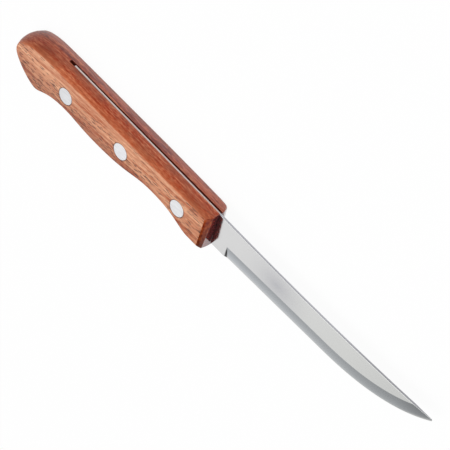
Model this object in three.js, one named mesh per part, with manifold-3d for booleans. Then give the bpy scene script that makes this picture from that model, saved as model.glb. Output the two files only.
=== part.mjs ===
// A slim kitchen knife: a stamped steel blade whose long tang sits in a saw slot
// in a one-piece hardwood handle, held by three two-part aluminium rivets.
// The knife lies on one flat side of its handle. +X runs to the tip, +Y to the
// spine, +Z up through the thickness. Lengths are in millimetres.

import * as THREE from 'three';
import { mergeVertices } from 'three/addons/utils/BufferGeometryUtils.js';
import Module from 'manifold-3d';

// Handle, along X from its front face and in Y from the line of the rivets
const handleLength = 103.1;
const handleThickness = 11.8;
const topHeight = 7.2;
const pommelLength = 17;
const buttDepth = 9.85;
const buttFromBack = 12.8;
const rearWaistDepth = 5.6;
const rearWaistFromFront = 73.2;
const bellyDepth = 6.8;
const bellyFromFront = 54;
const frontWaistDepth = 3.2;
const frontWaistFromFront = 25.7;
const guardDepth = 7.1;
const guardLength = 6;

// Crown of the top, back and bottom, above the edges of the flat sides
const crownAtFront = 1.55;
const crownAtBack = 2.5;

// Chamfers that narrow the front face from both sides, less at the bottom than at the top
const noseChamferAtTop = 2.4;
const noseChamferAtBottom = 1;
const noseChamferDepth = 1.7;

// Blade, along X from the handle's front face
const bladeLength = 102.8;
const bladeThickness = 0.9;
const spineBelowCrown = 0.45;
const tipHeight = 10.3;
const heelDepth = 7.1;
const ricassoLength = 7.2;
const edgeDepthAtPlunge = 6.95;
const edgeDepthAtBelly = 5.95;
const bladeBellyFromTip = 47.8;
const edgeBelly = 25;
const tipSweep = 11.3;
const tipSweepAngle = 44.3;
const spineDip = 1.3;
const spineDipFromHandle = 34;
const spineRise = 2.95;
const spineRiseFromTip = 32.8;
const bevelWidth = 4.9;
const edgeThickness = 0.1;
const edgeLand = 0.2;
const heelNotch = 0.4;

// Tang, behind the hole for the rear rivet, and the slot that it sits in
const tangEndWall = 2.25;
const tangDepth = 3;
const tangLowerCorner = 2.5;
const tangUpperCorner = 0.6;
const tangRecess = 0.05;
const tangGapNear = 0.1;
const tangGapFar = 0.4;
const slotSpareLength = 2.3;
const slotSpareDepth = 0.3;
const shoulderGap = 0.2;

// Rivets: a head with a tube on the resting side, a head with a pin on the upper side
const rivetPitch = 30.4;
const frontRivetFromFront = 14.25;
const rivetHeadDiameter = 6.8;
const rivetHeadThickness = 1.6;
const rivetTubeDiameter = 4;
const rivetPinDiameter = 2.6;
const headPlay = 0.1;
const seatPlay = 0.1;
const tubePlay = 0.2;
const pinPlay = 0.1;
const tubeEndGap = 0.3;

// How finely curves are cut into facets, how far a cutter stands out of its work,
// and how close two corners lie when they are one
const curveSteps = 10;
const crownSteps = 4;
const roundSteps = 32;
const hollowSteps = 4;
const edgeSteps = 32;
const cutterMargin = 1;
const mergeTolerance = 1e-4;

// Shape of each curve between two level points, as shares of its length, then of the
// hollow grind, whose steps are offset so that none ends on the flat of the blade
const softEase = 0.55;
const evenEase = 0.3;
const tightEase = 0.16;
const backEase = 0.38;
const hollowPower = 1.5;
const hollowOffset = 0.5;

const halfThickness = handleThickness / 2;
const slotWidth = bladeThickness + tangGapNear + tangGapFar;
const bladeMiddle = (tangGapFar - tangGapNear) / 2;
const rivetNames = ['front_rivet', 'middle_rivet', 'rear_rivet'];
const rivetPlaces = rivetNames.map((name, step) => -frontRivetFromFront - step * rivetPitch);
const tubeHoleRadius = rivetTubeDiameter / 2 + tubePlay;
const tangBack = rivetPlaces.at(-1) - tubeHoleRadius - tangEndWall;
const spineAtHandle = topHeight + crownAtFront - spineBelowCrown;

const wasm = await Module();
wasm.setup();

// A closed geometry becomes a solid once its shared corners are merged
function solidOf(geometry) {
  const bare = geometry.clone();
  bare.deleteAttribute('normal');
  bare.deleteAttribute('uv');
  const merged = mergeVertices(bare, mergeTolerance);
  const corners = merged.index.array;
  const triVerts = [];
  for (let i = 0; i < corners.length; i += 3) {
    const [a, b, c] = corners.slice(i, i + 3);
    if (a !== b && b !== c && c !== a) {
      triVerts.push(a, b, c);
    }
  }
  return new wasm.Manifold(new wasm.Mesh({
    numProp: 3,
    vertProperties: new Float32Array(merged.attributes.position.array),
    triVerts: new Uint32Array(triVerts),
  }));
}

function geometryOf(solid) {
  const mesh = solid.getMesh();
  const geometry = new THREE.BufferGeometry();
  geometry.setAttribute('position', new THREE.BufferAttribute(mesh.vertProperties, 3));
  geometry.setIndex(new THREE.BufferAttribute(mesh.triVerts, 1));
  geometry.computeVertexNormals();
  return geometry;
}

// A closed skin over rings that follow each other, with a flat cap on both ends.
// section is the outline of a ring in its own plane, counter-clockwise.
function loft(rings, section) {
  const size = section.length;
  const caps = THREE.ShapeUtils.triangulateShape(section, []);
  const last = (rings.length - 1) * size;
  const corners = [];
  for (const [a, b, c] of caps) {
    corners.push(a, c, b);
    corners.push(last + a, last + b, last + c);
  }
  for (let ring = 0; ring < rings.length - 1; ring += 1) {
    for (let point = 0; point < size; point += 1) {
      const a = ring * size + point;
      const b = ring * size + (point + 1) % size;
      corners.push(a, b, b + size);
      corners.push(a, b + size, a + size);
    }
  }
  const geometry = new THREE.BufferGeometry().setFromPoints(rings.flat());
  geometry.setIndex(corners);
  return geometry;
}

// A profile of radius and height, turned about the Z axis at a place along X
function turned(profile, x) {
  const points = profile.map(([radius, height]) => new THREE.Vector2(radius, height));
  const geometry = new THREE.LatheGeometry(points, roundSteps);
  geometry.rotateX(Math.PI / 2);
  geometry.translate(x, 0, 0);
  return geometry;
}

// A curve that leaves one level point and arrives level at the next
function ease(path, x, y, leaveShare, arriveShare) {
  const start = path.currentPoint.clone();
  const span = x - start.x;
  path.bezierCurveTo(start.x + span * leaveShare, start.y, x - span * arriveShare, y, x, y);
}

// Edge of a flat side, from the front of the top round the back to the front of the bottom
function sideOutline() {
  const pommelStart = pommelLength - handleLength;
  const butt = buttFromBack - handleLength;
  const path = new THREE.Path();
  path.moveTo(0, topHeight);
  path.lineTo(pommelStart, topHeight);
  path.absellipse(pommelStart, 0, pommelLength, topHeight, Math.PI / 2, Math.PI, false);
  path.bezierCurveTo(
    -handleLength, -buttDepth * backEase,
    butt - buttFromBack * evenEase, -buttDepth,
    butt, -buttDepth,
  );
  ease(path, -rearWaistFromFront, -rearWaistDepth, tightEase, softEase);
  ease(path, -bellyFromFront, -bellyDepth, evenEase, softEase);
  ease(path, -frontWaistFromFront, -frontWaistDepth, softEase, evenEase);
  ease(path, -guardLength, -guardDepth, softEase, tightEase);
  path.lineTo(0, -guardDepth);
  return path.getPoints(curveSteps);
}

// Outward direction at each point of the open outline
function outwardNormals(points) {
  return points.map((point, index) => {
    const before = points[Math.max(index - 1, 0)];
    const after = points[Math.min(index + 1, points.length - 1)];
    const along = after.clone().sub(before).normalize();
    return new THREE.Vector2(along.y, -along.x);
  });
}

function crownAt(x) {
  return THREE.MathUtils.lerp(crownAtFront, crownAtBack, -x / handleLength);
}

// Heights through the thickness: the two flat sides, the nose chamfers, and the crown between
function crownLevels() {
  const flatHalf = halfThickness - noseChamferAtTop;
  const upper = [halfThickness, halfThickness - noseChamferAtBottom];
  for (let step = crownSteps; step > 0; step -= 1) {
    upper.push(flatHalf * step / crownSteps);
  }
  const lower = upper.map((height) => -height);
  return [...lower, 0, ...upper.reverse()];
}

// Where the front face lies at a height: flat in the middle, chamfered to both sides
function noseAt(height, chamferWidth) {
  const intoChamfer = Math.abs(height) - (halfThickness - chamferWidth);
  return -noseChamferDepth * Math.max(intoChamfer, 0) / chamferWidth;
}

function handleBlank() {
  const outline = sideOutline();
  const normals = outwardNormals(outline);
  const rings = crownLevels().map((height) => {
    const rise = 1 - (height / halfThickness) ** 2;
    const ring = outline.map((point, index) => {
      const bulge = crownAt(point.x) * rise;
      return new THREE.Vector3(
        point.x + normals[index].x * bulge,
        point.y + normals[index].y * bulge,
        height,
      );
    });
    ring[0].x = noseAt(height, noseChamferAtTop);
    ring[ring.length - 1].x = noseAt(height, noseChamferAtBottom);
    return ring;
  });
  const section = rings[0].map((point) => new THREE.Vector2(point.x, point.y));
  return solidOf(loft(rings, section));
}

// The saw slot: open at the front and top, with a round corner at its closed back
function slotCutter() {
  const back = tangBack - slotSpareLength;
  const floor = -tangDepth - slotSpareDepth;
  const above = topHeight + crownAtBack + cutterMargin;
  const shape = new THREE.Shape();
  shape.moveTo(cutterMargin, floor);
  shape.lineTo(cutterMargin, above);
  shape.lineTo(back, above);
  shape.lineTo(back, floor + tangLowerCorner);
  shape.absarc(
    back + tangLowerCorner, floor + tangLowerCorner, tangLowerCorner,
    Math.PI, 1.5 * Math.PI, false,
  );
  const geometry = new THREE.ExtrudeGeometry(shape, {
    depth: slotWidth,
    bevelEnabled: false,
    curveSegments: curveSteps,
  });
  geometry.translate(0, 0, -slotWidth / 2);
  return solidOf(geometry);
}

// A stepped hole: a seat for the rivet head on each flat side and a bore for its tube
function rivetHole(x) {
  const seatRadius = rivetHeadDiameter / 2 + headPlay;
  const seat = halfThickness - rivetHeadThickness - seatPlay;
  const outside = halfThickness + cutterMargin;
  return solidOf(turned([
    [0, -outside],
    [seatRadius, -outside],
    [seatRadius, -seat],
    [tubeHoleRadius, -seat],
    [tubeHoleRadius, seat],
    [seatRadius, seat],
    [seatRadius, outside],
    [0, outside],
  ], x));
}

function handleGeometry() {
  let solid = handleBlank().subtract(slotCutter());
  for (const x of rivetPlaces) {
    solid = solid.subtract(rivetHole(x));
  }
  return geometryOf(solid);
}

// Sharpened edge from the plunge to the tip: straight, then swept up in one curve
function edgePath() {
  const bellyStart = bladeLength - bladeBellyFromTip;
  const start = new THREE.Vector2(ricassoLength, -edgeDepthAtPlunge);
  const belly = new THREE.Vector2(bellyStart, -edgeDepthAtBelly);
  const tip = new THREE.Vector2(bladeLength, tipHeight);
  const straight = belly.clone().sub(start).normalize();
  const sweepAngle = THREE.MathUtils.degToRad(tipSweepAngle);
  const sweep = new THREE.Vector2(Math.cos(sweepAngle), Math.sin(sweepAngle));
  const bellyHandle = belly.clone().addScaledVector(straight, edgeBelly);
  const tipHandle = tip.clone().addScaledVector(sweep, -tipSweep);
  const path = new THREE.CurvePath();
  path.add(new THREE.LineCurve(start, belly));
  path.add(new THREE.CubicBezierCurve(belly, bellyHandle, tipHandle, tip));
  path.add(new THREE.LineCurve(tip, tip.clone().addScaledVector(sweep, bevelWidth)));
  return path;
}

// Blade and tang in one outline, flat as it is stamped from sheet
function bladePlate() {
  const tangTop = topHeight + crownAt(tangBack) - tangRecess;
  const shape = new THREE.Shape();
  const notch = ricassoLength - heelNotch;
  const [straight, sweep] = edgePath().curves;
  shape.moveTo(shoulderGap, -heelDepth);
  shape.lineTo(notch, -heelDepth);
  shape.lineTo(notch, -edgeDepthAtPlunge);
  shape.lineTo(straight.v2.x, straight.v2.y);
  shape.bezierCurveTo(
    sweep.v1.x, sweep.v1.y,
    sweep.v2.x, sweep.v2.y,
    sweep.v3.x, sweep.v3.y,
  );
  shape.bezierCurveTo(
    bladeLength - spineRiseFromTip, tipHeight - spineRise,
    spineDipFromHandle, spineAtHandle - spineDip,
    0, spineAtHandle,
  );
  shape.lineTo(tangBack + tangUpperCorner, tangTop);
  shape.quadraticCurveTo(tangBack, tangTop, tangBack, tangTop - tangUpperCorner);
  shape.lineTo(tangBack, tangLowerCorner - tangDepth);
  shape.absarc(
    tangBack + tangLowerCorner, tangLowerCorner - tangDepth, tangLowerCorner,
    Math.PI, 1.5 * Math.PI, false,
  );
  shape.lineTo(shoulderGap, -tangDepth);
  for (const x of rivetPlaces) {
    const hole = new THREE.Path();
    hole.absarc(x, 0, tubeHoleRadius, 0, 2 * Math.PI, true);
    shape.holes.push(hole);
  }
  const geometry = new THREE.ExtrudeGeometry(shape, {
    depth: bladeThickness,
    bevelEnabled: false,
    curveSegments: edgeSteps,
  });
  geometry.translate(0, 0, bladeMiddle - bladeThickness / 2);
  return solidOf(geometry);
}

// What the grinding wheel takes off one side: a hollow strip along the edge.
// side is 1 for the upper face of the blade and -1 for the lower face.
function grindCutter(side) {
  const halfBlade = bladeThickness / 2;
  const halfEdge = edgeThickness / 2;
  const section = [new THREE.Vector2(-cutterMargin, halfEdge), new THREE.Vector2(edgeLand, halfEdge)];
  let inside = edgeLand;
  for (let step = 0; step <= hollowSteps; step += 1) {
    const inward = (step + hollowOffset) / hollowSteps;
    const depth = halfEdge + (halfBlade - halfEdge) * inward ** hollowPower;
    inside = THREE.MathUtils.lerp(edgeLand, bevelWidth, inward);
    section.push(new THREE.Vector2(inside, depth));
  }
  section.push(new THREE.Vector2(inside, halfBlade + cutterMargin));
  section.push(new THREE.Vector2(-cutterMargin, halfBlade + cutterMargin));
  const rings = [];
  for (const curve of edgePath().curves) {
    const steps = curve.isCubicBezierCurve ? edgeSteps : 1;
    for (let step = 0; step < steps; step += 1) {
      rings.push(sectionAt(curve, step / steps, section, side));
    }
  }
  const extension = edgePath().curves.at(-1);
  rings.push(sectionAt(extension, 1, section, side));
  const ordered = side > 0 ? rings : rings.reverse();
  return solidOf(loft(ordered, section));
}

// The grinding section, set square to the edge at one place along it
function sectionAt(curve, share, section, side) {
  const place = curve.getPoint(share);
  const along = curve.getTangent(share);
  return section.map((point) => new THREE.Vector3(
    place.x - along.y * point.x,
    place.y + along.x * point.x,
    bladeMiddle + side * point.y,
  ));
}

function bladeGeometry() {
  return geometryOf(bladePlate().subtract(grindCutter(1)).subtract(grindCutter(-1)));
}

// Rivet half on the resting side: a flush head with a hollow shank
function rivetTubeGeometry(x) {
  const headRadius = rivetHeadDiameter / 2;
  const tubeRadius = rivetTubeDiameter / 2;
  const boreRadius = rivetPinDiameter / 2 + pinPlay;
  const headTop = rivetHeadThickness - halfThickness;
  const tubeTop = halfThickness - rivetHeadThickness - tubeEndGap;
  return turned([
    [0, -halfThickness],
    [headRadius, -halfThickness],
    [headRadius, headTop],
    [tubeRadius, headTop],
    [tubeRadius, tubeTop],
    [boreRadius, tubeTop],
    [boreRadius, headTop],
    [0, headTop],
  ], x);
}

// Rivet half on the upper side: a flush head with a pin that goes into the shank
function rivetPinGeometry(x) {
  const headRadius = rivetHeadDiameter / 2;
  const pinRadius = rivetPinDiameter / 2;
  const pinEnd = rivetHeadThickness - halfThickness + tubeEndGap;
  const headUnderside = halfThickness - rivetHeadThickness;
  return turned([
    [0, pinEnd],
    [pinRadius, pinEnd],
    [pinRadius, headUnderside],
    [headRadius, headUnderside],
    [headRadius, halfThickness],
    [0, halfThickness],
  ], x);
}

const knife = new THREE.Group();

function addPiece(name, geometry, finish) {
  const mesh = new THREE.Mesh(geometry, new THREE.MeshStandardMaterial(finish));
  mesh.name = name;
  knife.add(mesh);
}

const lacqueredWood = { color: 0xb5714f, roughness: 0.45, metalness: 0 };
const polishedSteel = { color: 0xd4d5d6, roughness: 0.2, metalness: 1 };
const aluminium = { color: 0xe3e5e7, roughness: 0.4, metalness: 1 };

addPiece('handle', handleGeometry(), lacqueredWood);
addPiece('blade', bladeGeometry(), polishedSteel);
rivetPlaces.forEach((x, index) => {
  addPiece(`${rivetNames[index]}_tube`, rivetTubeGeometry(x), aluminium);
  addPiece(`${rivetNames[index]}_pin`, rivetPinGeometry(x), aluminium);
});

// The origin is under the middle of the knife, in the plane that it lies on
const box = new THREE.Box3().setFromObject(knife);
const middle = box.getCenter(new THREE.Vector3());
knife.position.set(-middle.x, -middle.y, -box.min.z);

export default knife;
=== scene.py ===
"""A slim kitchen knife: a steel blade, a slotted hardwood handle and three flush rivets.

The knife's lengths are in millimetres from the handle's flat front face (along, towards the tip), from
the line of the rivets (up, towards the spine) and from the middle of the handle's thickness (across).
"""
import math

import bpy
import numpy as np
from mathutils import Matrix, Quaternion, Vector


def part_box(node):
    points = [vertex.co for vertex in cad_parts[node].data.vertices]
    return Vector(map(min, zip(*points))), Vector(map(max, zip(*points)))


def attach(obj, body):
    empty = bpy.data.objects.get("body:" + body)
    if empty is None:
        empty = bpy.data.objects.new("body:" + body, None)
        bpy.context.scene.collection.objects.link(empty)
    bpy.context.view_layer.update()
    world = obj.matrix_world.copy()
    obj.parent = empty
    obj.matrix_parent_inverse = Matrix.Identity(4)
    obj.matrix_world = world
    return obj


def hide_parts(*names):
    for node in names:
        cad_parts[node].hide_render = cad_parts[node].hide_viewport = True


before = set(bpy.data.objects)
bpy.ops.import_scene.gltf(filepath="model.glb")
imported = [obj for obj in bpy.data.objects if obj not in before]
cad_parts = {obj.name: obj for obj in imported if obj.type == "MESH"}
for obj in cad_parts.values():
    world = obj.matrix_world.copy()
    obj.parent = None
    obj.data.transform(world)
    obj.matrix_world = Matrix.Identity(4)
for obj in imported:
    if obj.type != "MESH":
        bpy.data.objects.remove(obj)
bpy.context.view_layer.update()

# The blade and its tang
# Stamped in one piece from stainless sheet and polished. A wheel hollows a bevel into both sides from
# the plunge line to the tip, and the tang is pierced for the three rivets that hold it in the handle.
MM = 0.001
handle_low, handle_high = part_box("handle")
blade_low, blade_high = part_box("blade")
rivet_low, rivet_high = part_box("front_rivet_pin")
front = handle_high.x
rivet_line = (rivet_low.y + rivet_high.y) / 2
handle_middle = (handle_low.z + handle_high.z) / 2
blade_middle = (blade_low.z + blade_high.z) / 2
half_blade = (blade_high.z - blade_low.z) / 2 / MM
half_handle = (handle_high.z - handle_low.z) / 2 / MM
tang_back = (blade_low.x - front) / MM
tip = Vector(((blade_high.x - front) / MM, (blade_high.y - rivet_line) / MM))

meeting = tip + Vector((1.25, 0.12))
tip_round = 0.5
plunge = Vector((7.2, -6.95))
belly = Vector((tip.x - 45.8, -5.66))
belly_pull = 24.7
tip_pull = 10.9
tip_rise = math.radians(41.7)
straight_share = 0.45
spine_root = Vector((0, 8.3))
spine_pull = Vector((34, 7.4))
spine_push = Vector((70, 7.7))
tang_top = 9.43
tang_depth = 3.0
tang_top_corner = 0.6
tang_low_corner = 2.5
shoulder = 0.2
heel_depth = 7.1
heel_corner = 0.3
bevel_width = 4.9
edge_land = 0.2
half_edge = 0.05
hollow_power = 1.5
tip_hollow_power = 1.2
hollow_eases_to = 0.6
plunge_ramp = 0.4
plunge_ramp_at_edge = 1.5
spine_round = 0.22
tang_skew = 0.22
bore_radius = 2.2
bore_reach = 5
trim_reach = 2
trim_height = 3
close_by = 0.02
weld = 0.002
hollow_rows = 8
ramp_steps = 6
run_steps = 120
curve_steps = 400
spine_steps = 90
corner_steps = 6
trim_steps = 10
spine_round_steps = 4
tang_bore_sides = 48
halvings = 50
blade_smooth_angle = math.radians(40)


def at(along, up, across):
    """A place in metres, from millimetres off the handle's front, the rivets' line and its middle."""
    return Vector((front + along * MM, rivet_line + up * MM, handle_middle + across * MM))


def cubic(start, pull, push, end, share):
    """The point at a share of the way along a curve, and the curve's direction there."""
    rest = 1 - share
    point = rest**3 * start + 3 * rest**2 * share * pull + 3 * rest * share**2 * push + share**3 * end
    along = rest**2 * (pull - start) + 2 * rest * share * (push - pull) + share**2 * (end - push)
    return point, along.normalized()


def edge_at(share):
    """The cutting edge's place at a share of its way from plunge to tip, and the way in from it."""
    straight = (belly - plunge).normalized()
    if share < straight_share:
        point = plunge.lerp(belly, share / straight_share)
        along = straight
    else:
        sweep = Vector((math.cos(tip_rise), math.sin(tip_rise)))
        swept = (share - straight_share) / (1 - straight_share)
        pull = belly + belly_pull * straight
        push = meeting - tip_pull * sweep
        point, along = cubic(belly, pull, push, meeting, swept)
    return point, Vector((-along.y, along.x))


def back_height(along):
    """Height of the blade's back edge: the curved spine, then the straight top of the tang."""
    return float(np.interp(along, back_along, back_up))


def row_end(inset):
    """The share of the edge at which a line drawn that far in from it meets the spine."""
    low = straight_share
    high = 1.0
    for _ in range(halvings):
        middle = (low + high) / 2
        point, inward = edge_at(middle)
        spot = point + inset * inward
        if spot.y < back_height(spot.x):
            low = middle
        else:
            high = middle
    return low


def hollow_half(inset, share):
    """Half the blade's thickness in the hollow bevel, at a distance in from a place on the cutting edge."""
    reach = max(inset - edge_land, 0) / (bevel_width - edge_land)
    power = hollow_power + (tip_hollow_power - hollow_power) * min(share / hollow_eases_to, 1)
    return half_edge + (half_blade - half_edge) * reach**power


def start_piece(name):
    """Name the primitive that was just added, and its mesh, and give it back."""
    piece = bpy.context.object
    piece.name = name
    piece.data.name = name
    return piece


def flat_piece(name, places):
    """A piece with one flat face, whose corners are these places in their order."""
    bpy.ops.object.select_all(action="DESELECT")
    bpy.ops.mesh.primitive_circle_add(vertices=len(places), radius=1, fill_type="NGON")
    piece = start_piece(name)
    for vertex, place in zip(piece.data.vertices, places):
        vertex.co = place
    return piece


def select_only(*pieces):
    """Select these objects and nothing else, the last one active."""
    bpy.ops.object.select_all(action="DESELECT")
    for piece in pieces:
        piece.select_set(True)
        bpy.context.view_layer.objects.active = piece


def apply_modifier(piece, kind, **settings):
    """Add a modifier, set it and apply it."""
    select_only(piece)
    modifier = piece.modifiers.new(kind, kind)
    for setting, value in settings.items():
        setattr(modifier, setting, value)
    bpy.ops.object.modifier_apply(modifier=modifier.name)


def cut_away(piece, cutter):
    """Take the cutter's shape out of the piece and remove the cutter."""
    apply_modifier(piece, "BOOLEAN", operation="DIFFERENCE", solver="EXACT", object=cutter)
    bpy.data.objects.remove(cutter)


def drill(piece, sides, radius, along, low, high):
    """Cut a round hole on the rivets' line, between two distances across from the middle."""
    bpy.ops.object.select_all(action="DESELECT")
    bpy.ops.mesh.primitive_cylinder_add(
        vertices=sides, radius=radius * MM, depth=(high - low) * MM,
        location=at(along, 0, (low + high) / 2),
    )
    cut_away(piece, start_piece("drill"))


spine = [
    cubic(spine_root, spine_pull, spine_push, meeting, step / curve_steps)[0]
    for step in range(curve_steps + 1)
]
back_along = [tang_back] + [point.x for point in spine]
back_up = [tang_top] + [point.y for point in spine]
insets = [0] + [edge_land + (bevel_width - edge_land) * row / hollow_rows for row in range(hollow_rows + 1)]
share_per_mm = straight_share / (belly - plunge).length
columns = ramp_steps + run_steps

bpy.ops.object.select_all(action="DESELECT")
bpy.ops.mesh.primitive_grid_add(x_subdivisions=columns, y_subdivisions=len(insets) - 1, size=1)
bevel = start_piece("blade_bevel")
for row, inset in enumerate(insets):
    end_share = row_end(inset)
    ramp = plunge_ramp_at_edge + (plunge_ramp - plunge_ramp_at_edge) * inset / bevel_width
    ramp_share = ramp * share_per_mm
    for column in range(columns + 1):
        if column <= ramp_steps:
            share = ramp_share * column / ramp_steps
        else:
            share = ramp_share + (end_share - ramp_share) * (column - ramp_steps) / run_steps
        ramped = min(share / ramp_share, 1)
        ground_share = ramped * ramped * (3 - 2 * ramped)
        edge_point, inward = edge_at(share)
        ground_point = edge_point + inset * inward
        height = half_blade + (hollow_half(inset, share) - half_blade) * ground_share
        bevel.data.vertices[row * (columns + 1) + column].co = at(ground_point.x, ground_point.y, height)
bevel_start = [vertex.co.copy() for vertex in bevel.data.vertices][:: columns + 1]
bevel_line = [vertex.co.copy() for vertex in bevel.data.vertices][-columns:]

spine_meet = (bevel_line[-1].x - front) / MM
flat_outline = [at(shoulder, -heel_depth, half_blade), at(plunge.x - heel_corner, -heel_depth, half_blade)]
flat_outline += bevel_start + bevel_line
for step in range(1, spine_steps + 1):
    spine_along = spine_meet * (1 - step / spine_steps)
    flat_outline.append(at(spine_along, back_height(spine_along), half_blade))
flat_outline.append(at(tang_back + tang_top_corner, back_height(tang_back + tang_top_corner), half_blade))
flat_outline.append(at(tang_back, tang_top - tang_top_corner, half_blade))
for step in range(corner_steps + 1):
    turn = math.pi + math.pi / 2 * step / corner_steps
    flat_outline.append(at(
        tang_back + tang_low_corner * (1 + math.cos(turn)),
        tang_low_corner * (1 + math.sin(turn)) - tang_depth,
        half_blade,
    ))
flat_outline.append(at(shoulder, -tang_depth, half_blade))
blade = flat_piece("blade_steel_sheet", flat_outline)

select_only(bevel, blade)
bpy.ops.object.join()
bpy.ops.object.mode_set(mode="EDIT")
bpy.ops.mesh.select_mode(type="EDGE")
bpy.ops.mesh.select_all(action="SELECT")
bpy.ops.mesh.remove_doubles(threshold=weld * MM)
bpy.ops.mesh.select_all(action="DESELECT")
bpy.ops.mesh.select_non_manifold(
    extend=False, use_wire=False, use_boundary=True,
    use_multi_face=False, use_non_contiguous=False, use_verts=False,
)
bpy.ops.mesh.extrude_edges_move()
bpy.ops.transform.resize(value=(1, 1, 0), center_override=(0, 0, handle_middle))
bpy.ops.mesh.select_all(action="SELECT")
bpy.ops.transform.translate(value=(0, 0, -handle_middle))
bpy.ops.object.mode_set(mode="OBJECT")
apply_modifier(
    blade, "MIRROR", use_axis=(False, False, True), use_clip=True, merge_threshold=weld * MM,
)

edge_way = Vector((math.cos(tip_rise), math.sin(tip_rise)))
spine_way = (meeting - spine_push).normalized()
half_angle = edge_way.angle(spine_way) / 2
round_centre = meeting - (edge_way + spine_way).normalized() * tip_round / math.sin(half_angle)
round_start = math.atan2(-edge_way.x, edge_way.y)
round_end = math.atan2(spine_way.x, -spine_way.y)
trim_end = meeting.x + trim_reach
trim_top = meeting.y + trim_height
trim = [Vector((trim_end, trim_top)), Vector((round_centre.x, trim_top))]
for step in range(trim_steps + 1):
    turn = round_end + (round_start - round_end) * step / trim_steps
    trim.append(round_centre + tip_round * Vector((math.cos(turn), math.sin(turn))))
trim_low = trim[-1].y - trim_height
trim += [Vector((trim[-1].x, trim_low)), Vector((trim_end, trim_low))]
cutter = flat_piece("tip_trim", [at(corner.x, corner.y, -2 * half_handle) for corner in trim])
bpy.ops.object.mode_set(mode="EDIT")
bpy.ops.mesh.select_all(action="SELECT")
bpy.ops.mesh.extrude_region_move(TRANSFORM_OT_translate={"value": (0, 0, 2 * half_handle * MM)})
bpy.ops.mesh.select_all(action="SELECT")
bpy.ops.mesh.normals_make_consistent(inside=False)
bpy.ops.object.mode_set(mode="OBJECT")
cut_away(blade, cutter)

rounding = blade.data.attributes.new("bevel_weight_edge", "FLOAT", "EDGE")
for edge in blade.data.edges:
    ends = [blade.data.vertices[index].co for index in edge.vertices]
    thin = min(abs(end.z) for end in ends) / MM
    on_spine = all((end.y - rivet_line) / MM > back_height((end.x - front) / MM) - close_by for end in ends)
    if on_spine and thin > close_by:
        rounding.data[edge.index].value = thin / half_blade
    elif thin > half_blade - close_by:
        edge.use_edge_sharp = True
apply_modifier(
    blade, "BEVEL", width=spine_round * MM, segments=spine_round_steps, limit_method="WEIGHT",
    use_clamp_overlap=False,
)
select_only(blade)
bpy.ops.object.mode_set(mode="EDIT")
bpy.ops.mesh.select_all(action="SELECT")
bpy.ops.mesh.normals_make_consistent(inside=False)
bpy.ops.transform.translate(value=(0, 0, blade_middle))
bpy.ops.object.mode_set(mode="OBJECT")

rivet_names = ["front_rivet", "middle_rivet", "rear_rivet"]
rivet_places = []
for name in rivet_names:
    low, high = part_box(name + "_pin")
    rivet_places.append(((low.x + high.x) / 2 - front) / MM)
for rivet_along in rivet_places:
    drill(blade, tang_bore_sides, bore_radius, rivet_along, -bore_reach, bore_reach)
# The tang lies slightly across its slot.
for vertex in blade.data.vertices:
    into_handle = max(front - vertex.co.x, 0) / MM
    vertex.co.z -= tang_skew * MM * into_handle / -tang_back
select_only(blade)
bpy.ops.object.shade_smooth_by_angle(angle=blade_smooth_angle, keep_sharp_edges=True)
apply_modifier(blade, "WEIGHTED_NORMAL", keep_sharp=True)

# The mix node's sockets share their names, so they go by number: two values, or two colours and the result.
low_value = 2
high_value = 3
under_colour = 6
over_colour = 7
mixed_colour = 2


def linear(colour):
    """A colour written as sRGB hex, as the linear values that a shader takes."""
    values = []
    for place in (1, 3, 5):
        share = int(colour[place:place + 2], 16) / 255
        values.append(share / 12.92 if share <= 0.04045 else ((share + 0.055) / 1.055) ** 2.4)
    return (*values, 1)


def add_node(tree, kind, inputs, output=0, **settings):
    """Add a node, fill its inputs with values, hex colours or links, and give back one of its outputs."""
    node = tree.nodes.new(kind)
    for setting, value in settings.items():
        setattr(node, setting, value)
    for socket, value in inputs.items():
        if isinstance(value, bpy.types.NodeSocket):
            tree.links.new(value, node.inputs[socket])
        else:
            node.inputs[socket].default_value = linear(value) if isinstance(value, str) else value
    return node.outputs[output]


# Polished stainless steel: a clear, slightly soft mirror with faint lengthwise polishing streaks and one
# duller mark where it was held. The hollow is tinted bluer, and darker towards the tip, as painted
# reflection.
# The stamped back edge is rougher, and its darker grey is partly a duller finish and partly painted shade.
# The tang's pinkish tint is painted reflection of the wood around it.
thumb_mark = at(31, 2.5, 0.6)
thumb_size = Vector((19, 13, 13)) * MM
streak_size = Vector((40, 0.5, 0.5)) * MM
smudge_size = Vector((18, 9, 9)) * MM
smudge_starts = 0.35
smudge_full = 0.7
clean_rough = 0.10
smudged_rough = 0.13
streak_rough = 0.04
back_rough = 0.4
steel = bpy.data.materials.new("polished_stainless_steel")
steel.use_nodes = True
tree = steel.node_tree
shader = tree.nodes["Principled BSDF"]
coordinates = tree.nodes.new("ShaderNodeTexCoord")
steel_place = coordinates.outputs["Object"]
along_blade = add_node(tree, "ShaderNodeSeparateXYZ", {"Vector": steel_place}, output="X")
facing_up = add_node(tree, "ShaderNodeSeparateXYZ", {"Vector": coordinates.outputs["Normal"]}, output="Y")
noises = []
for size, detail in ((streak_size, 3), (smudge_size, 2)):
    stretched = add_node(tree, "ShaderNodeMapping", {
        "Vector": steel_place, "Scale": [1 / length for length in size],
    })
    noises.append(add_node(tree, "ShaderNodeTexNoise", {"Vector": stretched, "Scale": 1, "Detail": detail}))
streaks, smudges = noises
thumb_place = add_node(tree, "ShaderNodeMapping", {
    "Vector": steel_place,
    "Location": [-middle / size for middle, size in zip(thumb_mark, thumb_size)],
    "Scale": [1 / size for size in thumb_size],
})
thumb = add_node(tree, "ShaderNodeTexGradient", {
    "Vector": thumb_place,
}, output="Fac", gradient_type="QUADRATIC_SPHERE")

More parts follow.
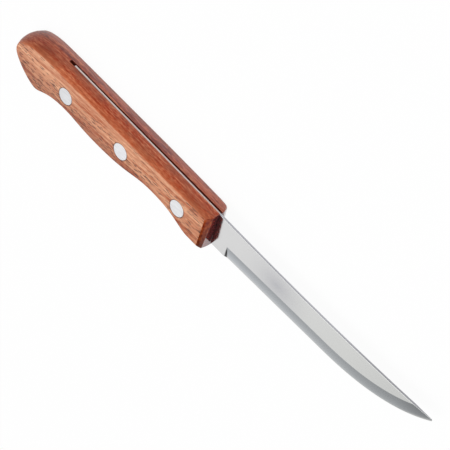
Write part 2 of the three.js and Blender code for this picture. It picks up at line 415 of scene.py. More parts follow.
# Ramps along the blade and with the way its surface faces, then colours laid over each other by them.
ramps = {}
for name, source, start, end in (
    ("to_middle", along_blade, front + 15 * MM, front + 65 * MM),
    ("to_front_half", along_blade, front + 58 * MM, front + 78 * MM),
    ("to_tip", along_blade, front + 89 * MM, front + 101 * MM),
    ("in_handle", along_blade, front - 0.1 * MM, front - 0.8 * MM),
    ("in_hollow", facing_up, -0.02, -0.06),
    ("on_back", facing_up, 0.5, 0.9),
):
    ramps[name] = add_node(tree, "ShaderNodeMapRange", {
        "Value": source, "From Min": start, "From Max": end,
    })
tones = {}
for name, share, under, over in (
    ("flat", ramps["to_middle"], "#D0D0D0", "#DADBD9"),
    ("held", thumb, "flat", "#BABABE"),
    # Painted reflection: the hollow is tinted bluer, and darker towards the tip.
    ("hollow", ramps["to_middle"], "#C9CDD1", "#D7DBDE"),
    ("hollow_to_tip", ramps["to_tip"], "hollow", "#BABDC0"),
    ("ground", ramps["in_hollow"], "held", "hollow_to_tip"),
    # Partly a duller stamped finish, partly painted shade: the back edge is darker grey, more so towards
    # the tip.
    ("back", ramps["to_front_half"], "#C6C6CC", "#AEAEB3"),
    ("stamped", ramps["on_back"], "ground", "back"),
    # Painted reflection: the tang is tinted pink, as the wood around it would be mirrored in it.
    ("steel", ramps["in_handle"], "stamped", "#DCCCC8"),
):
    tones[name] = add_node(tree, "ShaderNodeMix", {
        "Factor": share, under_colour: tones.get(under, under), over_colour: tones.get(over, over),
    }, output=mixed_colour, data_type="RGBA")
steel_rough = add_node(tree, "ShaderNodeMapRange", {
    "Value": smudges, "From Min": smudge_starts, "From Max": smudge_full,
    "To Min": clean_rough, "To Max": smudged_rough,
})
for source, weight in ((streaks, streak_rough), (ramps["on_back"], back_rough)):
    steel_rough = add_node(tree, "ShaderNodeMath", {
        0: source, 1: weight, 2: steel_rough,
    }, operation="MULTIPLY_ADD")
tree.links.new(tones["steel"], shader.inputs["Base Color"])
tree.links.new(steel_rough, shader.inputs["Roughness"])
shader.inputs["Metallic"].default_value = 1.0
blade.data.materials.clear()
blade.data.materials.append(steel)
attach(blade, "root")
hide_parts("blade")

# The handle
# One piece of straight-grained reddish hardwood, sanded to two flat sides with a crowned back, a waist
# and a hooked butt. A saw slot takes the tang, stepped holes take the rivets, and lacquer seals it.
handle_length = 103.1
top_height = 7.2
top_first = -5.5
pommel_length = 16
pommel_fullness = 2.3
pommel_crown = 0.65
pommel_turn = 0.5
butt_depth = 9.85
butt_from_back = 12.8
butt_pull = 0.38
butt_push = 0.3
rear_waist = Vector((-74.1, -5.85))
finger_belly = Vector((-56, -7.05))
front_waist = Vector((-27, -3.5))
guard_depth = 7.35
guard_length = 6
crown_at_front = 1.55
crown_at_back = 2.5
far_lift = 0.25
far_lift_ends = -25
far_lift_fades = 45
nose_at_top = 2.4
far_nose_at_top = 4.2
nose_at_bottom = 1.0
nose_depth = 1.7
nose_soft = 0.1
nose_round = 0.4
far_nose_round = 1.6
far_nose_length = 2.7
far_nose_starts = 3
near_top_round = 0.45
far_top_round = 0.28
far_front_round = 2.0
far_front_reach = 40
bottom_round = 0.4
bottom_starts = 0.5
slot_half = 0.7
slot_skew = 0.2
slot_spare_length = 2.3
slot_spare_depth = 0.3
slot_reach = 2.0
seat_radius = 3.5
seat_depth = 1.7
end_grain_depth = 3
end_grain_facing = 0.3
nose_round_steps = 6
rim_steps = 5
crown_rows = 9
stretch_steps = 14
top_steps = 30
slot_end_sides = 48
hole_sides = 64
wood_smooth_angle = math.radians(35)


def limited(value):
    """The value, kept between 0 and 1."""
    return min(max(value, 0), 1)


def crown_at(along):
    """How far the crown stands above the flat sides' edges, at a distance along the handle."""
    return crown_at_front + (crown_at_back - crown_at_front) * -along / handle_length


def ease(start, end, leave, arrive):
    """A curve that leaves one level point and arrives level at the next, without its first point."""
    span = end.x - start.x
    pull = Vector((start.x + span * leave, start.y))
    push = Vector((end.x - span * arrive, end.y))
    return [cubic(start, pull, push, end, step / stretch_steps)[0] for step in range(1, stretch_steps + 1)]


pommel_start = pommel_length - handle_length
butt = Vector((butt_from_back - handle_length, -butt_depth))
guard = Vector((-guard_length, -guard_depth))
back = Vector((-handle_length, 0))
outline = [Vector((0, top_height))]
for step in range(top_steps + 1):
    outline.append(Vector((top_first + (pommel_start - top_first) * step / top_steps, top_height)))
for step in range(1, stretch_steps + 1):
    turn = math.pi / 2 * step / stretch_steps
    back_share = math.sin(turn) ** (2 / pommel_fullness)
    up_share = max(math.cos(turn), 0) ** (2 / pommel_fullness)
    outline.append(Vector((pommel_start - pommel_length * back_share, top_height * up_share)))
for step in range(1, stretch_steps + 1):
    pull = Vector((-handle_length, -butt_depth * butt_pull))
    push = Vector((butt.x - butt_from_back * butt_push, -butt_depth))
    outline.append(cubic(back, pull, push, butt, step / stretch_steps)[0])
for start, end, leave, arrive in (
    (butt, rear_waist, 0.17, 0.65),
    (rear_waist, finger_belly, 0.36, 0.58),
    (finger_belly, front_waist, 0.6, 0.34),
    (front_waist, guard, 0.66, 0.3),
):
    outline += ease(start, end, leave, arrive)
outline.append(Vector((0, -guard_depth)))


def rim(crown, reach, side):
    """The rounded edge between a flat side and the crown, from the side in: (outward, across, normal)."""
    across = half_handle - reach
    out = crown * (1 - (across / half_handle) ** 2)
    slope = 2 * crown * across / half_handle**2
    corner = Vector((out - slope * reach, half_handle))
    begin = corner - Vector((reach, 0))
    end = Vector((out, across))
    points = []
    for step in range(rim_steps + 1):
        share = step / rim_steps
        spot = (1 - share) ** 2 * begin + 2 * share * (1 - share) * corner + share**2 * end
        along = ((1 - share) * (corner - begin) + share * (end - corner)).normalized()
        points.append((spot.x, side * spot.y, Vector((-along.y, side * along.x))))
    return points


def section(place, facing, near_nose, far_nose):
    """Points across the handle at one place of its outline, from the near side to the far side."""
    crown = crown_at(place.x) * (1 + (pommel_crown - 1) * limited(-facing.x / pommel_turn))
    bottom = limited(bottom_starts - facing.y)
    near = near_top_round + (bottom_round - near_top_round) * bottom
    forward = limited(1 + place.x / far_front_reach)
    far_top = far_top_round + (far_front_round - far_top_round) * forward * forward
    far = far_top + (bottom_round - far_top) * bottom
    near_rim = rim(crown, near, 1)
    lift = far_lift * (1 - bottom) * limited((far_lift_ends - place.x) / far_lift_fades)
    far_rim = [(lift + out, across, normal) for out, across, normal in rim(crown - lift, far, -1)]
    near_break = half_handle - near_nose
    far_break = far_nose - half_handle
    near_inner = near_break - 2 * nose_soft
    far_inner = far_break + 2 * nose_soft
    levels = [near_break + 2 * nose_soft, near_break, near_inner]
    levels += [near_inner + (far_inner - near_inner) * row / crown_rows for row in range(1, crown_rows)]
    levels += [far_inner, far_break, far_break - 2 * nose_soft]
    crowned = []
    for across in levels:
        base = lift if across < 0 else 0
        out = base + (crown - base) * (1 - (across / half_handle) ** 2)
        slope = 2 * (crown - base) * across / half_handle**2
        crowned.append((out, across, Vector((1, slope)).normalized()))
    return near_rim + crowned + far_rim[::-1]


def nose_back(across, nose):
    """How far the front face lies back at a distance off the middle: flat, then chamfered."""
    into = abs(across) - (half_handle - nose)
    soft = (into + math.sqrt(into * into + nose_soft * nose_soft)) / 2
    return nose_depth * soft / nose


# Rings of points go round the outline. Its two ends, at the front, curl in to meet the sawn face.
stations = []
last = len(outline) - 1
for index, place in enumerate(outline):
    ahead = outline[min(index + 1, last)] - outline[max(index - 1, 0)]
    facing = Vector((ahead.y, -ahead.x)).normalized()
    near_nose = nose_at_top + (nose_at_bottom - nose_at_top) * index / last
    far_nose = far_nose_at_top + (nose_at_bottom - far_nose_at_top) * index / last
    points = section(place, facing, near_nose, far_nose)
    if index in (0, last):
        end_rings = []
        for step in range(nose_round_steps + 1):
            curled = step / nose_round_steps
            ring = []
            for out, across, normal in points:
                reach = nose_round
                length = nose_round
                if index == 0:
                    far_share = limited((-across - far_nose_starts) / (half_handle - far_nose_starts))
                    reach += (far_nose_round - nose_round) * far_share
                    length += (far_nose_length - nose_round) * far_share
                nose = near_nose if across > 0 else far_nose
                sunk = reach * curled * curled
                inside = Vector((out, across)) - sunk * normal
                fall = nose_back(across, nose) - nose_back(across - close_by * normal.y, nose)
                ring_along = sunk * fall / close_by - nose_back(across, nose) - length * (1 - curled) ** 2
                ring.append(at(ring_along, place.y + facing.y * inside.x, inside.y))
            end_rings.append(ring)
        stations += end_rings[::-1] if index == 0 else end_rings
    else:
        ring = [at(place.x + facing.x * out, place.y + facing.y * out, across) for out, across, _ in points]
        stations.append(ring)

rows = len(stations[0])
bpy.ops.object.select_all(action="DESELECT")
bpy.ops.mesh.primitive_grid_add(x_subdivisions=rows - 1, y_subdivisions=len(stations) - 1, size=1)
handle = start_piece("handle_hardwood")
for station, ring in enumerate(stations):
    for row, point in enumerate(ring):
        handle.data.vertices[station * rows + row].co = point


def pick_chain(piece, indices):
    """In edit mode, add the edges that run through these vertices, in their order, to the selection."""
    bpy.ops.object.mode_set(mode="OBJECT")
    pairs = {frozenset(pair) for pair in zip(indices, indices[1:])}
    for edge in piece.data.edges:
        if frozenset(edge.vertices) in pairs:
            edge.select = True
    bpy.ops.object.mode_set(mode="EDIT")


count = len(stations)
select_only(handle)
bpy.ops.object.mode_set(mode="EDIT")
bpy.ops.mesh.select_mode(type="EDGE")
bpy.ops.mesh.select_all(action="DESELECT")
pick_chain(handle, list(range(rows)))
pick_chain(handle, [(count - 1) * rows + row for row in range(rows)])
bpy.ops.mesh.bridge_edge_loops()
for row in (0, rows - 1):
    bpy.ops.mesh.select_all(action="DESELECT")
    pick_chain(handle, [station * rows + row for station in range(nose_round_steps + 1)])
    pick_chain(handle, [(count - 1 - station) * rows + row for station in range(nose_round_steps + 1)])
    bpy.ops.mesh.bridge_edge_loops()
for row in (0, rows - 1):
    bpy.ops.mesh.select_all(action="DESELECT")
    side_loop = [station * rows + row for station in range(nose_round_steps, count - nose_round_steps)]
    pick_chain(handle, side_loop + side_loop[:1])
    bpy.ops.mesh.edge_face_add()
bpy.ops.mesh.select_all(action="SELECT")
bpy.ops.mesh.remove_doubles(threshold=weld * MM)
bpy.ops.mesh.normals_make_consistent(inside=False)
bpy.ops.object.mode_set(mode="OBJECT")

slot_back = tang_back - slot_spare_length
slot_floor = -tang_depth - slot_spare_depth
slot_top = top_height + crown_at_back + slot_reach
bpy.ops.object.select_all(action="DESELECT")
bpy.ops.mesh.primitive_cylinder_add(
    vertices=slot_end_sides, radius=1, depth=1, rotation=(math.pi / 2, 0, 0),
)
slot = start_piece("slot")
bpy.ops.object.transform_apply(rotation=True)
for vertex in slot.data.vertices:
    level = slot_top if vertex.co.y > 0 else slot_floor
    if vertex.co.x > close_by:
        vertex.co = at(slot_reach, level, math.copysign(slot_half, vertex.co.z))
    else:
        slot_end = slot_back + slot_half * (1 + vertex.co.x)
        vertex.co = at(slot_end, level, slot_half * vertex.co.z - slot_skew)
cut_away(handle, slot)
for rivet_along in rivet_places:
    for radius, low, high in (
        (bore_radius, -half_handle, half_handle),
        (seat_radius, half_handle - seat_depth, half_handle + slot_reach),
        (seat_radius, -half_handle - slot_reach, seat_depth - half_handle),
    ):
        drill(handle, hole_sides, radius, rivet_along, low, high)
select_only(handle)
bpy.ops.object.shade_smooth_by_angle(angle=wood_smooth_angle)
apply_modifier(handle, "WEIGHTED_NORMAL", keep_sharp=True)

# Lacquered reddish hardwood, straight-grained and open-pored. The flat sides show pale salmon wood with
# lighter and redder streaks and short dark pores, and painted shade low down to the back and at the front.
# The crown, cut across other layers, is redder, with a painted sheen on its far half and painted light
# along its edges. The slot's walls carry painted shade.
grain_rise = math.radians(4.5)
side_mottle = 0.3
crown_mottle = 0.5
fewest_pores = -1.2
crown_pore_share = 0.25
pore_relief = -0.5
relief_strength = 0.25
relief_height = 0.03
lacquer_shine = 0.4
wood = bpy.data.materials.new("lacquered_reddish_hardwood")
wood.use_nodes = True
tree = wood.node_tree
shader = tree.nodes["Principled BSDF"]
coordinates = tree.nodes.new("ShaderNodeTexCoord")
to_mm = add_node(tree, "ShaderNodeMapping", {
    "Vector": coordinates.outputs["Object"],
    "Location": (-front / MM, -rivet_line / MM, -handle_middle / MM),
    "Scale": (1 / MM, 1 / MM, 1 / MM),
})
along_wood, up_wood, across_wood = add_node(tree, "ShaderNodeSeparateXYZ", {"Vector": to_mm}).node.outputs
grain = add_node(tree, "ShaderNodeMapping", {"Vector": to_mm, "Rotation": (0, 0, -grain_rise)})
facing_side = add_node(tree, "ShaderNodeSeparateXYZ", {"Vector": coordinates.outputs["Normal"]}, output="Z")
flatness = add_node(tree, "ShaderNodeMath", {0: facing_side}, operation="ABSOLUTE")
off_slot = add_node(tree, "ShaderNodeMath", {
    0: along_wood, 1: slot_skew / slot_back, 2: across_wood,
}, operation="MULTIPLY_ADD")
off_middle = add_node(tree, "ShaderNodeMath", {0: off_slot}, operation="ABSOLUTE")
in_slot_width = add_node(tree, "ShaderNodeMath", {
    0: off_middle, 1: slot_half + close_by,
}, operation="LESS_THAN")
in_slot_length = add_node(tree, "ShaderNodeMath", {
    0: along_wood, 1: slot_back - close_by,
}, operation="GREATER_THAN")
in_slot = add_node(tree, "ShaderNodeMath", {0: in_slot_width, 1: in_slot_length}, operation="MULTIPLY")

# Noise drawn out along the grain: its size in millimetres, and the levels that count as none and full.
layers = {}
for name, source, size, detail, low, high in (
    ("bands", grain, (24, 1.5, 1.5), 5, 0.34, 0.66),
    ("streaks", to_mm, (28, 1.2, 0.8), 4, 0.3, 0.57),
    ("mottle", grain, (2.2, 0.45, 0.45), 3, 0.28, 0.6),
    ("fibres", grain, (12, 0.42, 0.42), 3, 0.32, 0.68),
    ("patches", grain, (17, 4.5, 4.5), 2, 0.0, 1.0),
):
    stretched = add_node(tree, "ShaderNodeMapping", {
        "Vector": source, "Scale": [1 / length for length in size],
    })
    noise = add_node(tree, "ShaderNodeTexNoise", {"Vector": stretched, "Scale": 1, "Detail": detail})
    layers[name] = add_node(tree, "ShaderNodeMapRange", {"Value": noise, "From Min": low, "From Max": high})
side_tone = add_node(tree, "ShaderNodeMix", {
    "Factor": side_mottle, low_value: layers["bands"], high_value: layers["mottle"],
})
crown_tone = add_node(tree, "ShaderNodeMix", {
    "Factor": crown_mottle, low_value: layers["streaks"], high_value: layers["mottle"],
})

# Pores are the middles of long cells, in three sizes.
pores = None
for size, outer, inner in (
    ((7.0, 0.8, 0.8), 0.25, 0.19),
    ((5.0, 0.66, 0.66), 0.26, 0.2),
    ((3.4, 0.52, 0.52), 0.26, 0.2),
):
    stretched = add_node(tree, "ShaderNodeMapping", {
        "Vector": grain, "Scale": [1 / length for length in size],
    })
    cells = add_node(tree, "ShaderNodeTexVoronoi", {"Vector": stretched, "Scale": 1}, output="Distance")
    more = add_node(tree, "ShaderNodeMapRange", {"Value": cells, "From Min": outer, "From Max": inner})
    if pores:
        more = add_node(tree, "ShaderNodeMath", {0: more, 1: pores}, operation="MAXIMUM")
    pores = more

in_plane = add_node(tree, "ShaderNodeCombineXYZ", {"X": along_wood, "Y": up_wood})
off_rivet = None
for rivet_along in rivet_places:
    off = add_node(tree, "ShaderNodeVectorMath", {
        0: in_plane, 1: (rivet_along, 0, 0),
    }, output="Value", operation="DISTANCE")
    if off_rivet:
        off = add_node(tree, "ShaderNodeMath", {0: off_rivet, 1: off}, operation="MINIMUM")
    off_rivet = off

# Ramps over the handle: where each starts and ends, and its least and most.
ramps = {}
for name, source, start, end, least, most in (
    ("on_side", flatness, 0.75, 0.97, 0.0, 1.0),
    ("below", up_wood, 1.5, -6.0, 0.0, 1.0),
    ("to_back", along_wood, -12.0, -35.0, 0.4, 1.0),
    ("to_front", along_wood, -16.0, -4.0, 0.0, 0.15),
    ("upper", up_wood, 1.5, 5.0, 0.0, 1.0),
    ("stain", layers["patches"], 0.5, 0.74, 0.0, 0.7),
    ("dark_bands", side_tone, 0.45, 0.85, 0.0, 1.0),
    ("far_streaks", across_wood, 0.5, -1.5, 0.0, 0.9),
    ("far_half", across_wood, 0.0, -3.5, 0.0, 0.15),
    ("sheen_fibres", layers["fibres"], 0.0, 1.0, -0.1, 2.1),
    ("butt_end", along_wood, -86.0, -99.0, 0.0, 1.0),
    ("far_edge", across_wood, -3.2, -5.9, 0.0, 0.5),
    ("near_edge", across_wood, 3.4, 5.6, 0.0, 0.25),
    ("rivet_ring", off_rivet, seat_radius + 0.35, seat_radius, 0.0, 0.7),
    ("rough", layers["fibres"], 0.0, 1.0, 0.34, 0.46),
):
    ramps[name] = add_node(tree, "ShaderNodeMapRange", {
        "Value": source, "From Min": start, "From Max": end, "To Min": least, "To Max": most,
    })
# Painted shade: the flat sides are darkened low down towards the back, and towards the front. The same mask
# also crowds the pores.
down_back = add_node(tree, "ShaderNodeMath", {0: ramps["below"], 1: ramps["to_back"]}, operation="MULTIPLY")
down_side = add_node(tree, "ShaderNodeMath", {0: down_back, 1: ramps["to_front"]}, operation="MAXIMUM")
crowd = fewest_pores
for source, weight in (
    (layers["patches"], 4.0),
    (ramps["upper"], -0.5),
    (ramps["to_front"], 3.0),
    (down_side, 1.3),
):
    crowd = add_node(tree, "ShaderNodeMath", {0: source, 1: weight, 2: crowd}, operation="MULTIPLY_ADD")
crowded = add_node(tree, "ShaderNodeClamp", {"Value": crowd})
side_pores = add_node(tree, "ShaderNodeMath", {0: pores, 1: crowded}, operation="MULTIPLY")
crown_pores = add_node(tree, "ShaderNodeMath", {0: pores, 1: crown_pore_share}, operation="MULTIPLY")
far_dark = add_node(tree, "ShaderNodeMath", {
    0: ramps["far_streaks"], 1: ramps["dark_bands"],
}, operation="MULTIPLY")
# Painted sheen: a pale cool veil on the crown's far half, standing in for the lacquer mirroring the white
# table.
far_painted_sheen = add_node(tree, "ShaderNodeMath", {
    0: ramps["far_half"], 1: ramps["sheen_fibres"],
}, operation="MULTIPLY")

# The sides and the crown are coloured in layers, each laid over the one before by its own share.
tones = {}
for name, share, under, over, blend in (
    ("side", side_tone, "#F3B990", "#AC4A0A", "MIX"),
    ("side_painted_shade", down_side, "side", "#CDB3A6", "MULTIPLY"),
    ("side_pored", side_pores, "side_painted_shade", "#4C1A04", "MIX"),
    ("side_ringed", ramps["rivet_ring"], "side_pored", "#4A2A20", "MIX"),
    ("crown", crown_tone, "#EE9A6E", "#AE3606", "MIX"),
    ("crown_stained", ramps["stain"], "crown", "#8E432B", "MIX"),
    ("crown_pored", crown_pores, "crown_stained", "#5A2A1C", "MIX"),
    ("crown_streaked", far_dark, "crown_pored", "#6E2014", "MIX"),
    ("crown_painted_sheen", far_painted_sheen, "crown_streaked", "#E0AEB3", "MIX"),
    ("crown_to_butt", ramps["butt_end"], "crown_painted_sheen", "#CEBCB8", "MULTIPLY"),
    # Painted light: the crown's far edge is lightened, as light bounced up from the table.
    ("crown_far_edge", ramps["far_edge"], "crown_to_butt", "#ECA48E", "MIX"),
    # Painted light: the crown's near edge is a brighter orange, where it turns up towards the light.
    ("crown_near_edge_painted_light", ramps["near_edge"], "crown_far_edge", "#F2905A", "MIX"),
    ("outside", ramps["on_side"], "crown_near_edge_painted_light", "side_ringed", "MIX"),
    # Painted shade: the slot's walls are a dark red, as the shade deep inside the narrow slot.
    ("wood", in_slot, "outside", "#7C3526", "MIX"),
):
    tones[name] = add_node(tree, "ShaderNodeMix", {
        "Factor": share, under_colour: tones.get(under, under), over_colour: tones.get(over, over),
    }, output=mixed_colour, data_type="RGBA", blend_type=blend)
uneven = add_node(tree, "ShaderNodeMath", {0: layers["mottle"], 1: layers["fibres"]}, operation="ADD")
relief = add_node(tree, "ShaderNodeMath", {
    0: side_pores, 1: pore_relief, 2: uneven,
}, operation="MULTIPLY_ADD")
wood_bump = add_node(tree, "ShaderNodeBump", {
    "Strength": relief_strength, "Distance": relief_height * MM, "Height": relief,
})
tree.links.new(tones["wood"], shader.inputs["Base Color"])
tree.links.new(ramps["rough"], shader.inputs["Roughness"])
tree.links.new(wood_bump, shader.inputs["Normal"])
shader.inputs["Specular IOR Level"].default_value = lacquer_shine

# End grain soaks up lacquer: the sawn front is a dark blotchy maroon under a thick clear gloss, and the
# chamfers, cut at a slant, are browner, with painted shade darkening them downwards. The sawn face has
# painted shade towards the slot, where the blade meets it.
blot_size = (2.5, 1.6, 0.8)
thick_rough = 0.1
soaked_rough = 0.16
wave_strength = 0.3
wave_height = 0.05
coat_weight = 0.8
coat_rough = 0.06
coat_density = 1.5
end_grain = bpy.data.materials.new("lacquered_end_grain")
end_grain.use_nodes = True
tree = end_grain.node_tree
shader = tree.nodes["Principled BSDF"]
coordinates = tree.nodes.new("ShaderNodeTexCoord")
facing_front = add_node(tree, "ShaderNodeSeparateXYZ", {
    "Vector": coordinates.outputs["Normal"],
}, output="X")
end_mm = add_node(tree, "ShaderNodeMapping", {
    "Vector": coordinates.outputs["Object"],
    "Location": (-front / MM, -rivet_line / MM, -handle_middle / MM),
    "Scale": (1 / MM, 1 / MM, 1 / MM),
})
_, up_end, across_end = add_node(tree, "ShaderNodeSeparateXYZ", {"Vector": end_mm}).node.outputs
blot_place = add_node(tree, "ShaderNodeMapping", {
    "Vector": end_mm, "Scale": [1 / length for length in blot_size],
})
blots = add_node(tree, "ShaderNodeTexNoise", {"Vector": blot_place, "Scale": 1, "Detail": 3})
ramps = {}
for name, source, start, end in (
    ("square_on", facing_front, 0.84, 0.99),
    ("soaked", blots, 0.33, 0.67),
    ("lower", up_end, 6.0, -7.0),
    ("to_slot", across_end, 3.6, 1.4),
):
    ramps[name] = add_node(tree, "ShaderNodeMapRange", {
        "Value": source, "From Min": start, "From Max": end,
    })
tones = {}
for name, share, under, over, blend in (
    ("slant", ramps["soaked"], "#C05A28", "#822306", "MIX"),
    # Painted shade: the chamfers darken downwards.
    ("slant_painted_shade", ramps["lower"], "slant", "#A6A8B8", "MULTIPLY"),
    # Painted shade: the sawn face darkens towards the slot, where the blade meets it.
    ("sawn", ramps["to_slot"], "#AE3A2C", "#842C30", "MIX"),
    ("sawn_soaked", ramps["soaked"], "sawn", "#C0B4B4", "MULTIPLY"),
    ("front", ramps["square_on"], "slant_painted_shade", "sawn_soaked", "MIX"),
):
    tones[name] = add_node(tree, "ShaderNodeMix", {
        "Factor": share, under_colour: tones.get(under, under), over_colour: tones.get(over, over),
    }, output=mixed_colour, data_type="RGBA", blend_type=blend)
end_rough = add_node(tree, "ShaderNodeMapRange", {
    "Value": ramps["soaked"], "To Min": thick_rough, "To Max": soaked_rough,
})
waves = add_node(tree, "ShaderNodeBump", {
    "Strength": wave_strength, "Distance": wave_height * MM, "Height": blots,
})
tree.links.new(tones["front"], shader.inputs["Base Color"])
tree.links.new(end_rough, shader.inputs["Roughness"])
tree.links.new(waves, shader.inputs["Normal"])
tree.links.new(waves, shader.inputs["Coat Normal"])
shader.inputs["Specular IOR Level"].default_value = lacquer_shine
shader.inputs["Coat Weight"].default_value = coat_weight
shader.inputs["Coat Roughness"].default_value = coat_rough
shader.inputs["Coat IOR"].default_value = coat_density
handle.data.materials.clear()
handle.data.materials.append(wood)
handle.data.materials.append(end_grain)
for face in handle.data.polygons:
    if face.normal.x > end_grain_facing and face.center.x > front - end_grain_depth * MM:
        face.material_index = 1
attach(handle, "root")
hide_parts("handle")

# The rivets
# Three two-part aluminium rivets. A headed pin from one side is pressed into the hollow shank of a
# headed tube from the other, and both heads are sanded flush with the wood.
tube_low, tube_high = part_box("front_rivet_tube")
head_radius = (rivet_high.x - rivet_low.x) / 2 / MM
head_thickness = 1.6
pin_radius = 1.3
pin_length = (rivet_high.z - rivet_low.z) / MM - head_thickness
tube_radius = 2.0
tube_bore = 1.4
tube_length = (tube_high.z - tube_low.z) / MM - head_thickness
rim_round = 0.12
rim_round_steps = 3
head_sides = 64
facing_flat = 0.9
rivet_smooth_angle = math.radians(35)


def pick_faces(piece, across, radius):
    """In edit mode, select the faces that lie at a height and inside a radius of the rivet's axis."""
    bpy.ops.mesh.select_all(action="DESELECT")
    bpy.ops.object.mode_set(mode="OBJECT")
    for face in piece.data.polygons:
        centre = face.center
        flat = abs(face.normal.z) > facing_flat
        off_axis = math.hypot(centre.x, centre.y) / MM
        face.select = flat and abs(centre.z / MM - across) < close_by and off_axis < radius
    bpy.ops.object.mode_set(mode="EDIT")


# Satin aluminium, sanded flush along the handle: a bright soft sheen with fine scratches, drawn wider
# than real grit so that they show, and a little duller on the rear rivet.
scratch_size = Vector((3.0, 0.45, 0.45)) * MM
bright_rough = 0.32
scratched_rough = 0.46
scratch_strength = 0.15
scratch_height = 0.02
dull_starts = 50
dull_full = 75
aluminium = bpy.data.materials.new("sanded_aluminium")
aluminium.use_nodes = True
tree = aluminium.node_tree
shader = tree.nodes["Principled BSDF"]
rivet_place = add_node(tree, "ShaderNodeTexCoord", {}, output="Object")
scratch_place = add_node(tree, "ShaderNodeMapping", {
    "Vector": rivet_place, "Scale": [1 / length for length in scratch_size],
})
scratches = add_node(tree, "ShaderNodeTexNoise", {"Vector": scratch_place, "Scale": 1, "Detail": 3})
scratched = add_node(tree, "ShaderNodeMix", {
    "Factor": scratches, under_colour: "#FCFCFE", over_colour: "#D3D4D7",
}, output=mixed_colour, data_type="RGBA")
along_rivets = add_node(tree, "ShaderNodeSeparateXYZ", {"Vector": rivet_place}, output="X")
to_rear = add_node(tree, "ShaderNodeMapRange", {
    "Value": along_rivets, "From Min": front - dull_starts * MM, "From Max": front - dull_full * MM,
})
dulled = add_node(tree, "ShaderNodeMix", {
    "Factor": to_rear, under_colour: scratched, over_colour: "#F2F2F2",
}, output=mixed_colour, data_type="RGBA", blend_type="MULTIPLY")
rivet_rough = add_node(tree, "ShaderNodeMapRange", {
    "Value": scratches, "To Min": bright_rough, "To Max": scratched_rough,
})
rivet_bump = add_node(tree, "ShaderNodeBump", {
    "Strength": scratch_strength, "Distance": scratch_height * MM, "Height": scratches,
})
tree.links.new(dulled, shader.inputs["Base Color"])
tree.links.new(rivet_rough, shader.inputs["Roughness"])
tree.links.new(rivet_bump, shader.inputs["Normal"])
shader.inputs["Metallic"].default_value = 1.0

# Each half starts as its head, standing on the plane where head and shank meet.
halves = []
for name, shank_radius, length, bore in (
    ("pin", pin_radius, pin_length, 0),
    ("tube", tube_radius, tube_length, tube_bore),
):
    bpy.ops.object.select_all(action="DESELECT")
    bpy.ops.mesh.primitive_cylinder_add(
        vertices=head_sides, radius=head_radius * MM, depth=head_thickness * MM,
        location=(0, 0, head_thickness / 2 * MM),
    )
    half = start_piece(name)
    bpy.ops.object.transform_apply(location=True)
    bpy.ops.object.mode_set(mode="EDIT")
    bpy.ops.mesh.select_mode(type="FACE")
    pick_faces(half, head_thickness, head_radius)
    bpy.ops.mesh.bevel(offset=rim_round * MM, segments=rim_round_steps, affect="EDGES")
    pick_faces(half, 0, head_radius)
    bpy.ops.mesh.inset(thickness=(head_radius - shank_radius) * MM)
    bpy.ops.mesh.extrude_region_move(TRANSFORM_OT_translate={"value": (0, 0, -length * MM)})
    if bore:
        bpy.ops.mesh.inset(thickness=(shank_radius - bore) * MM)
        bpy.ops.mesh.extrude_region_move(TRANSFORM_OT_translate={"value": (0, 0, length * MM)})
    bpy.ops.object.mode_set(mode="OBJECT")
    select_only(half)
    bpy.ops.object.shade_smooth_by_angle(angle=rivet_smooth_angle)
    apply_modifier(half, "WEIGHTED_NORMAL", keep_sharp=True)
    half.data.materials.clear()
    half.data.materials.append(aluminium)
    halves.append(half)

for name, rivet_along in zip(rivet_names, rivet_places):
    for half, side in zip(halves, (1, -1)):
        select_only(half)
        bpy.ops.object.duplicate(linked=False)
        piece = start_piece(name + "_" + half.name + "_aluminium")
        piece.location = at(rivet_along, 0, side * (half_handle - head_thickness))
        piece.rotation_euler = (0, 0, 0) if side > 0 else (math.pi, 0, 0)
        bpy.ops.object.transform_apply(location=True, rotation=True, scale=True)
        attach(piece, "root")
        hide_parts(name + "_" + half.name)
for half in halves:
    bpy.data.objects.remove(half)

# The floor, the light and the camera
# A plain white table that reads as white from the camera and in the metal, and still takes a shadow. A
# broad soft light comes from the butt and the edge's side, with a softer one overhead. Lengths here are
# in metres.
floor_size = 6
floor_glow = 0.95
bpy.ops.object.select_all(action="DESELECT")
bpy.ops.mesh.primitive_plane_add(size=floor_size)
floor = start_piece("floor")
white = bpy.data.materials.new("white_table")
white.use_nodes = True
tree = white.node_tree
tree.nodes.remove(tree.nodes["Principled BSDF"])
rays = tree.nodes.new("ShaderNodeLightPath")
seen_or_mirrored = add_node(tree, "ShaderNodeMath", {
    0: rays.outputs["Is Camera Ray"], 1: rays.outputs["Is Glossy Ray"],
}, operation="MAXIMUM")
seen = add_node(tree, "ShaderNodeMath", {
    0: seen_or_mirrored, 1: rays.outputs["Is Transmission Ray"],
}, operation="MAXIMUM")
glow_share = add_node(tree, "ShaderNodeMath", {0: seen, 1: floor_glow}, operation="MULTIPLY")
lit = add_node(tree, "ShaderNodeBsdfDiffuse", {"Color": "#F4F4F4"})
glow = add_node(tree, "ShaderNodeEmission", {"Color": "#FFFFFF", "Strength": 1.0})
lit_and_glow = add_node(tree, "ShaderNodeMixShader", {0: glow_share, 1: lit, 2: glow})
tree.links.new(lit_and_glow, tree.nodes["Material Output"].inputs["Surface"])
floor.data.materials.append(white)

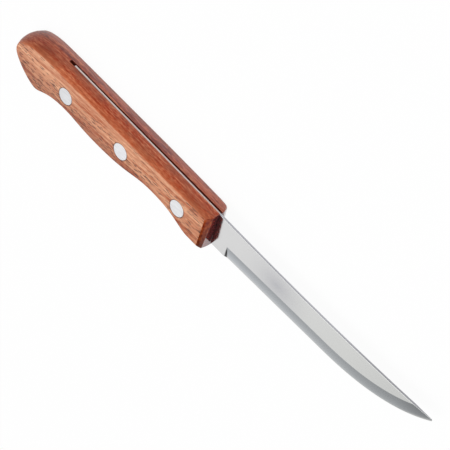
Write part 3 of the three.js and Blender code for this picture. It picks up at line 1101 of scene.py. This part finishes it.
# The light's level in each direction. Glossy surfaces mirror a gentler room: its level is capped and dips
# straight overhead so that metal doesn't burn out, pale walls past the blade's end keep it from going
# black, and a bright ring of the ceiling gives the spine its line of light.
key_direction = Vector((-2.9, 0, 2.36)).normalized()
mirror_cap = 1.1
world = bpy.data.worlds.new("studio")
bpy.context.scene.world = world
world.use_nodes = True
tree = world.node_tree
way = add_node(tree, "ShaderNodeTexCoord", {}, output="Generated")
way_along, way_up, way_high = add_node(tree, "ShaderNodeSeparateXYZ", {"Vector": way}).node.outputs
towards_key = add_node(tree, "ShaderNodeVectorMath", {
    0: way, 1: key_direction,
}, output="Value", operation="DOT_PRODUCT")
levels = {}
for name, source, start, end, least, most in (
    ("key", towards_key, 0.338, 0.774, 0.04, 1.67),
    ("edge_side", way_up, -0.5, 0.1, 1.0, 0.2),
    ("room", way_up, -0.5, 0.3, 0.04, 0.3),
    ("ceiling", way_high, 0.68, 0.84, 0.0, 1.2),
    ("blade_half", way_along, -0.2, 0.0, 0.0, 1.0),
    ("low_wall", way_high, 0.48, 0.36, 0.0, 0.35),
    ("spine_wall", way_up, 0.0, 0.2, 0.0, 0.5),
    ("ceiling_ring", way_high, 0.78, 0.86, 0.0, 0.55),
    ("ceiling_dip", way_high, 0.94, 0.98, 0.0, 0.85),
):
    levels[name] = add_node(tree, "ShaderNodeMapRange", {
        "Value": source, "From Min": start, "From Max": end, "To Min": least, "To Max": most,
    })
for name, first, operation, second in (
    ("key_on_edge_side", "key", "MULTIPLY", "edge_side"),
    ("sides", "key_on_edge_side", "MAXIMUM", "room"),
    ("light", "sides", "MAXIMUM", "ceiling"),
    ("walls", "low_wall", "MAXIMUM", "spine_wall"),
    ("pale_walls", "blade_half", "MULTIPLY", "walls"),
    ("capped", "light", "MINIMUM", mirror_cap),
    ("mirrored_walls", "capped", "MAXIMUM", "pale_walls"),
    ("mirrored_ring", "mirrored_walls", "ADD", "ceiling_ring"),
    ("mirrored", "mirrored_ring", "SUBTRACT", "ceiling_dip"),
):
    levels[name] = add_node(tree, "ShaderNodeMath", {
        0: levels[first], 1: levels.get(second, second),
    }, operation=operation)
in_mirror = add_node(tree, "ShaderNodeLightPath", {}, output="Is Glossy Ray")
seen_level = add_node(tree, "ShaderNodeMix", {
    "Factor": in_mirror, low_value: levels["light"], high_value: levels["mirrored"],
})
tree.links.new(seen_level, tree.nodes["Background"].inputs["Strength"])
tree.nodes["Background"].inputs["Color"].default_value = linear("#FFFFFF")

bpy.ops.object.light_add(type="AREA", location=(0.0, 0.1, 0.9))
overhead = bpy.context.object
overhead.name = "overhead_softbox"
overhead.data.shape = "RECTANGLE"
overhead.data.size = 0.8
overhead.data.size_y = 0.6
overhead.data.energy = 2.5
overhead.visible_glossy = False

camera_place = Vector((0.242630, 0.524454, 0.392137))
camera_back = Vector((0.34590, 0.75225, 0.56077))
camera_roll = math.radians(-120.545)
bpy.ops.object.camera_add(location=camera_place)
camera = bpy.context.object
camera.rotation_mode = "QUATERNION"
camera.rotation_quaternion = (-camera_back).to_track_quat("-Z", "Y") @ Quaternion((0, 0, 1), camera_roll)
camera.data.lens = 160
camera.data.sensor_width = 36
camera.data.clip_start = 0.01
bpy.context.scene.camera = camera
bpy.context.scene.view_settings.view_transform = "Standard"
